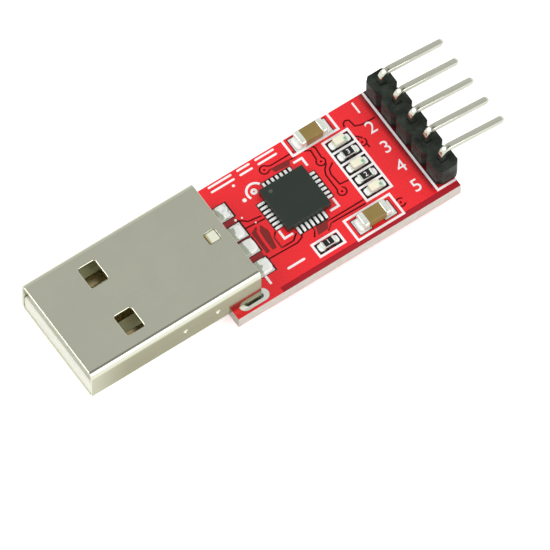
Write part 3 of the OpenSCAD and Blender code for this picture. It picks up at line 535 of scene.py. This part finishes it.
cutters = [hole(WINDOW["x"], y, WINDOW["half_x"], WINDOW["half_y"], side)
           for side in (1, -1) for y in (-WINDOW["y"], WINDOW["y"])]
cutters.append(hole(NUB_HOLE["x"], 0, NUB_HOLE["half"], NUB_HOLE["half"], 1, flare=0.05))
for x in (10.7, 14.4):
    for side in (-1, 1):
        cutters.append(bmesh.new())
        bmesh.ops.create_uvsphere(cutters[-1], u_segments=24, v_segments=12, radius=0.35 * MM,
                                  matrix=Matrix.Translation(Vector((x, side * (half_w + 0.175), 0)) * MM))
for low, high in (((-0.1, -0.03, -half_h - 0.1), (16.9, 0.03, -half_h + 0.5)),
                  ((16.9, -4.7, -half_h - 0.1), (shell_rear + 1, 4.7, -half_h + 0.31))):
    cutters.append(bmesh.new())
    add_box(cutters[-1], low, high, 0)
for cutter in cutters:
    shell = carve(shell, cutter)
bmesh.ops.remove_doubles(shell, verts=shell.verts, dist=0.0005 * MM)
bmesh.ops.dissolve_degenerate(shell, dist=0.0005 * MM, edges=shell.edges)
for side in (-1, 1):
    outer, inner = side * half_w, side * (half_w - SHELL_T)
    add_box(shell, (17.8, min(outer, inner), shell_low.z), (19.4, max(outer, inner), -half_h + BEND_R), 0.05)
shell_piece = new_piece("shell_folded", shell, "shell_steel", "plug_shell")
even_shading(shell_piece, 40)

soften("plug_insulator", 0.05)
chip = bmesh.new()
add_box(chip, chip_low, chip_high, 0.05)
even_shading(new_piece("chip_block", chip, "chip_resin", "chip_body"), 40)

# Metal ends and bodies of the small parts, as rounded blocks
for kind, count, cut, rounding in (("capacitor", 2, 0.72, 0.2), ("resistor", 3, 0.26, 0.08), ("lamp", 3, 0.26, 0.06)):
    for node in [f"{kind}_ends_{i}" for i in range(1, count + 1)]:
        low, high = span(node)
        ends = bmesh.new()
        add_box(ends, low, (low.x + cut, high.y, high.z), rounding)
        add_box(ends, (high.x - cut, low.y, low.z), high, rounding)
        even_shading(new_piece(f"{node}_round", ends, "tinned_ends", node), 50)
for node in [f"capacitor_body_{i}" for i in (1, 2)] + [f"lamp_lens_{i}" for i in (1, 2, 3)]:
    low, high = span(node)
    block = bmesh.new()
    add_box(block, low, high, 0.09)
    even_shading(new_piece(f"{node}_round", block, slot_of[node], node), 50)

PIN_X = (strip_low.x + strip_high.x) / 2
soften("header_strip", 0.06, leave=lambda at: abs(at.x - PIN_X) < 0.5 and min(abs(at.y - y) for y in pin_rows) < 0.5)
for i in range(1, PIN_COUNT + 1):
    soften(f"header_pin_{i}", 0.09, segments=2)


def make_mounds():
    """Half-round mounds on points that carry a size and a turn, with a little seeded variation."""
    tree = bpy.data.node_groups.new("solder_mounds", "GeometryNodeTree")
    tree.interface.new_socket("Points", in_out="INPUT", socket_type="NodeSocketGeometry")
    for label, kind, value in (("Segments", "Int", 20), ("Squareness", "Float", 0.7), ("Variation", "Float", 0.05),
                               ("Seed", "Int", 4), ("Material", "Material", None)):
        socket = tree.interface.new_socket(label, in_out="INPUT", socket_type=f"NodeSocket{kind}")
        if value is not None:
            socket.default_value = value
    tree.interface.new_socket("Mounds", in_out="OUTPUT", socket_type="NodeSocketGeometry")
    given = tree.nodes.new("NodeGroupInput").outputs
    ball = put(tree, "GeometryNodeMeshUVSphere", {"Segments": given["Segments"], "Rings": 10, "Radius": 1.0})
    axes = put(tree, "ShaderNodeSeparateXYZ", {0: tree.nodes.new("GeometryNodeInputPosition").outputs[0]}).outputs
    swollen = [calc(tree, "MULTIPLY", calc(tree, "SIGN", axis),
                    calc(tree, "POWER", calc(tree, "ABSOLUTE", axis), given["Squareness"])) for axis in axes[:3]]
    swollen[2] = calc(tree, "MAXIMUM", swollen[2], 0.0)
    place = put(tree, "ShaderNodeCombineXYZ", {i: value for i, value in enumerate(swollen)}).outputs[0]
    cap = put(tree, "GeometryNodeSetPosition", {"Geometry": ball.outputs["Mesh"], "Position": place})
    size = put(tree, "GeometryNodeInputNamedAttribute", {"Name": "size"}, data_type="FLOAT_VECTOR").outputs[0]
    turn = put(tree, "GeometryNodeInputNamedAttribute", {"Name": "turn"}, data_type="FLOAT").outputs[0]
    lower = calc(tree, "SUBTRACT", 1.0, given["Variation"])
    grow = put(tree, "FunctionNodeRandomValue", {2: lower, 3: 1.0, "Seed": given["Seed"]}, data_type="FLOAT")
    scale = put(tree, "ShaderNodeVectorMath", {0: size, "Scale": grow.outputs[1]}, operation="SCALE").outputs[0]
    angles = put(tree, "ShaderNodeCombineXYZ", {2: turn}).outputs[0]
    spread = put(tree, "GeometryNodeInstanceOnPoints", {"Points": given["Points"], "Instance": cap.outputs[0],
                                                        "Rotation": angles, "Scale": scale})
    solid = put(tree, "GeometryNodeRealizeInstances", {"Geometry": spread.outputs[0]})
    smooth = put(tree, "GeometryNodeSetShadeSmooth", {"Geometry": solid.outputs[0]})
    dressed = put(tree, "GeometryNodeSetMaterial", {"Geometry": smooth.outputs[0], "Material": given["Material"]})
    tree.links.new(dressed.outputs[0], tree.nodes.new("NodeGroupOutput").inputs[0])
    return tree


MOUNDS = make_mounds()


def mounds(name, slot, spots, stands_for=(), **values):
    """A piece of mounds, one for each spot: its place, its half sizes in millimetres and its turn."""
    data = bpy.data.meshes.new(name)
    data.from_pydata([Vector(place) * MM for place, size, turn in spots], [], [])
    data.attributes.new("size", "FLOAT_VECTOR", "POINT")
    data.attributes.new("turn", "FLOAT", "POINT")
    for k, (place, size, turn) in enumerate(spots):
        data.attributes["size"].data[k].vector = Vector(size) * MM
        data.attributes["turn"].data[k].value = turn
    holder = bpy.data.objects.new(name, data)
    bpy.context.collection.objects.link(holder)
    spread = holder.modifiers.new("mounds", "NODES")
    spread.node_group = MOUNDS
    values["Material"] = SLOT_FINISH[slot]
    for item in MOUNDS.interface.items_tree:
        if item.in_out == "INPUT" and item.name in values:
            spread[item.identifier] = values[item.name]
    bpy.context.view_layer.update()
    made = bpy.data.meshes.new_from_object(holder.evaluated_get(bpy.context.evaluated_depsgraph_get()))
    mesh = bmesh.new()
    mesh.from_mesh(made)
    bpy.data.objects.remove(holder)
    bpy.data.meshes.remove(made)
    for face in mesh.faces:
        face.smooth = True
    return new_piece(name, mesh, slot, *stands_for)


# Solder on the chip's pads, long and low, one mound on each
LEAD_PITCH, PAD_OUT = 0.5, 0.8
spots = []
for quarter in range(4):
    turn = quarter * math.pi / 2
    out, along = Vector((math.cos(turn), math.sin(turn))), Vector((-math.sin(turn), math.cos(turn)))
    for k in range(-3, 4):
        at = Vector((chip_x, chip_y)) + out * (chip_half + PAD_OUT / 2 - 0.04) + along * k * LEAD_PITCH
        spots.append(((at.x, at.y, board_top), (PAD_OUT / 2 + 0.03, 0.155, 0.1), turn))
mounds("chip_pad_solder", "solder", spots, ["chip_solder"], Squareness=0.55, Variation=0.08)

# Solder at the ends of the small parts: the inner half of each mound is inside the part
for node, part, run, rise in (("capacitor_solder_1", "capacitor_ends_1", 0.48, 0.5),
                              ("capacitor_solder_2", "capacitor_ends_2", 0.48, 0.5)):
    low, high = span(part)
    y, half_y = (low.y + high.y) / 2, (high.y - low.y) / 2
    ends = [((x, y, board_top), (run, half_y * 0.94, rise), 0) for x in (low.x + 0.02, high.x - 0.02)]
    mounds(f"{node}_mounds", "solder", ends, [node], Squareness=0.7, Variation=0.06, Seed=2)
for kind, rise in (("lamp", 0.2), ("resistor", 0.25)):
    ends = []
    for i in (1, 2, 3):
        low, high = span(f"{kind}_ends_{i}")
        y, half_y = (low.y + high.y) / 2, (high.y - low.y) / 2
        ends += [((x, y, board_top), (0.37, half_y * 1.06, rise), 0) for x in (low.x + 0.01, high.x - 0.01)]
    mounds(f"{kind}_solder_mounds", "solder", ends, [f"{kind}_solder"], Squareness=0.55, Variation=0.06, Seed=7)


def blob(mesh, x, y, half_x, half_y, rise, square, rough, seed, segments=40, rings=20):
    """One mound of solder over a contact's tail, lumpy by a share of its size."""
    part = bmesh.new()
    bmesh.ops.create_uvsphere(part, u_segments=segments, v_segments=rings, radius=1)
    for vert in part.verts:
        p = Vector([math.copysign(abs(c) ** square, c) for c in vert.co])
        lump = 1 + rough * noise.noise(Vector((p.x * 2.2, p.y * 2.2, p.z * 2.2 + seed)))
        vert.co = Vector(((x + half_x * p.x * min(1, lump)) * MM, (y + half_y * p.y * min(1, lump)) * MM,
                          (board_top + rise * max(0, p.z) * lump) * MM))
    for face in part.faces:
        face.smooth = True
    add_mesh(mesh, part)


tails = bmesh.new()
for y, shape in zip(contact_rows, ((0.98, 0.80, 0.44, 0.62, 0.5, 3.1), (0.95, 0.84, 0.46, 0.75, 0.1, 8.4),
                                   (1.0, 0.82, 0.42, 0.5, 0.05, 5.5), (1.0, 0.82, 0.42, 0.45, 0.08, 1.7))):
    blob(tails, 21.1, y, *shape)
new_piece("tail_solder", tails, "solder", "contact_solder")


def flat_bar(mesh, a, b, width, z, thick=PRINT_T, steps=8):
    """A round-ended line of ink from a to b, on a surface at z."""
    a, b = Vector(a), Vector(b)
    turn = math.atan2(b.y - a.y, b.x - a.x)
    rim = []
    for end, start in ((b, -math.pi / 2), (a, math.pi / 2)):
        for k in range(steps + 1):
            angle = turn + start + math.pi * k / steps
            rim.append((end.x + width / 2 * math.cos(angle), end.y + width / 2 * math.sin(angle)))
    loft(mesh, [[(x, y, level) for x, y in rim] for level in (z, z + thick)])


def flat_ring(mesh, x, y, outer, inner, z, thick=PRINT_T, steps=32):
    """A ring of ink."""
    turns = [2 * math.pi * k / steps for k in range(steps)]
    loft(mesh, [[(x + r * math.cos(a), y + r * math.sin(a), level) for a in turns]
                for r, level in ((inner, z), (outer, z), (outer, z + thick), (inner, z + thick))], close=True)


def text_mesh(mesh, words, x, y, z, height, thick=PRINT_T):
    """Plain digits as ink, centred on x and y."""
    curve = bpy.data.curves.new("digits", "FONT")
    curve.body = words
    curve.size = height * MM / 0.69
    curve.align_x, curve.align_y = "CENTER", "CENTER"
    curve.extrude = thick * MM / 2
    curve.resolution_u = 4
    holder = bpy.data.objects.new("digits", curve)
    bpy.context.collection.objects.link(holder)
    bpy.context.view_layer.update()
    shape = bpy.data.meshes.new_from_object(holder.evaluated_get(bpy.context.evaluated_depsgraph_get()))
    shape.transform(Matrix.Translation((x * MM, y * MM, (z + thick / 2) * MM)))
    mesh.from_mesh(shape)
    bpy.data.objects.remove(holder)
    bpy.data.curves.remove(curve)


# Printed digits beside the pins, plain bars, dots and marks
marks = bmesh.new()
for number, y in enumerate(pin_rows, 1):
    text_mesh(marks, str(number), 38.35, y + 0.05, board_top, 1.35)
for x0, x1 in ((21.8, 24.3), (25.1, 26.4), (27.2, 29.2)):
    for y in (5.95, 6.5):
        flat_bar(marks, (x0, y), (x1, y), 0.22, board_top)
flat_bar(marks, (23.2, -4.95), (25.0, -4.95), 0.24, board_top)
flat_ring(marks, 25.15, 3.75, 0.34, 0.1, board_top)
for i, digit in ((1, "3"), (2, "2"), (3, "1")):
    low, high = span(f"resistor_coat_{i}")
    text_mesh(marks, digit, (low.x + high.x) / 2, (low.y + high.y) / 2, high.z, 0.5, 0.012)
bmesh.ops.recalc_face_normals(marks, faces=marks.faces)
new_piece("print_marks", marks, "white_print")
mounds("paste_beads", "solder", [((x, y, board_top), (size, size, size * 0.55), 0) for x, y, size in (
    (23.88, 3.48, 0.23), (23.89, 5.38, 0.17), (21.95, 2.19, 0.14), (23.42, 0.91, 0.1), (22.61, 2.06, 0.11))],
       Squareness=0.9, Variation=0.1)

# ---------------------------------------------------------------- floor, world and lamps
floor_mesh = bmesh.new()
bmesh.ops.create_grid(floor_mesh, x_segments=1, y_segments=1, size=3)
bmesh.ops.translate(floor_mesh, verts=floor_mesh.verts, vec=(0, 0, floor_z * MM))
floor_data = bpy.data.meshes.new("floor")
floor_mesh.to_mesh(floor_data)
floor_mesh.free()
floor = bpy.data.objects.new("floor", floor_data)
bpy.context.collection.objects.link(floor)
floor_look = bpy.data.materials.new("floor_look")
floor_look.use_nodes = True
tree = floor_look.node_tree
shader = tree.nodes["Principled BSDF"]
shader.inputs["Base Color"].default_value = (0.92, 0.92, 0.92, 1)
shader.inputs["Roughness"].default_value = 0.9
shader.inputs["Emission Color"].default_value = (1, 1, 1, 1)
rays = put(tree, "ShaderNodeLightPath").outputs
seen = calc(tree, "MAXIMUM", rays["Is Camera Ray"], calc(tree, "MAXIMUM", rays["Is Glossy Ray"],
                                                        rays["Is Transmission Ray"]))
glow = calc(tree, "ADD", calc(tree, "MULTIPLY", seen, 0.12), calc(tree, "MULTIPLY", rays["Is Camera Ray"], 0.42))
tree.links.new(glow, shader.inputs["Emission Strength"])
floor_data.materials.append(floor_look)

world = bpy.data.worlds.new("studio")
bpy.context.scene.world = world
world.use_nodes = True
tree = world.node_tree
background = tree.nodes["Background"]
way = put(tree, "ShaderNodeSeparateXYZ", {0: put(tree, "ShaderNodeTexCoord").outputs["Generated"]}).outputs
pale = calc(tree, "MULTIPLY", ramp(tree, way[2], 0.35, 0.85, 1.0, 0.5), ramp(tree, way[2], 0.92, 0.965, 1.0, 0.35))
pale = calc(tree, "MULTIPLY", pale, ramp(tree, way[1], 0.6, 0.9, 1.0, 0.62))
rays = put(tree, "ShaderNodeLightPath").outputs
seen = calc(tree, "MAXIMUM", rays["Is Camera Ray"], calc(tree, "MAXIMUM", rays["Is Glossy Ray"],
                                                        rays["Is Transmission Ray"]))
strength = put(tree, "ShaderNodeMix", {0: seen, 2: 0.7, 3: pale}, data_type="FLOAT").outputs[0]
background.inputs["Color"].default_value = (1, 1, 1, 1)
tree.links.new(strength, background.inputs["Strength"])


def softbox(name, direction, distance, size, power):
    """A square area lamp that looks at the middle of the board."""
    lamp = bpy.data.lights.new(name, "AREA")
    lamp.size = size
    lamp.energy = power
    holder = bpy.data.objects.new(name, lamp)
    bpy.context.collection.objects.link(holder)
    way = Vector(direction).normalized()
    holder.location = Vector((22, 0, 0)) * MM + way * distance
    holder.rotation_euler = way.to_track_quat("Z", "Y").to_euler()
    return holder


softbox("rim_lamp", (-0.64, 0.38, 0.67), 0.7, 0.32, 1.4)
softbox("near_lamp", (0.26, -0.74, 0.62), 0.7, 0.42, 1.7)

bpy.context.view_layer.update()
low, high = cad_box
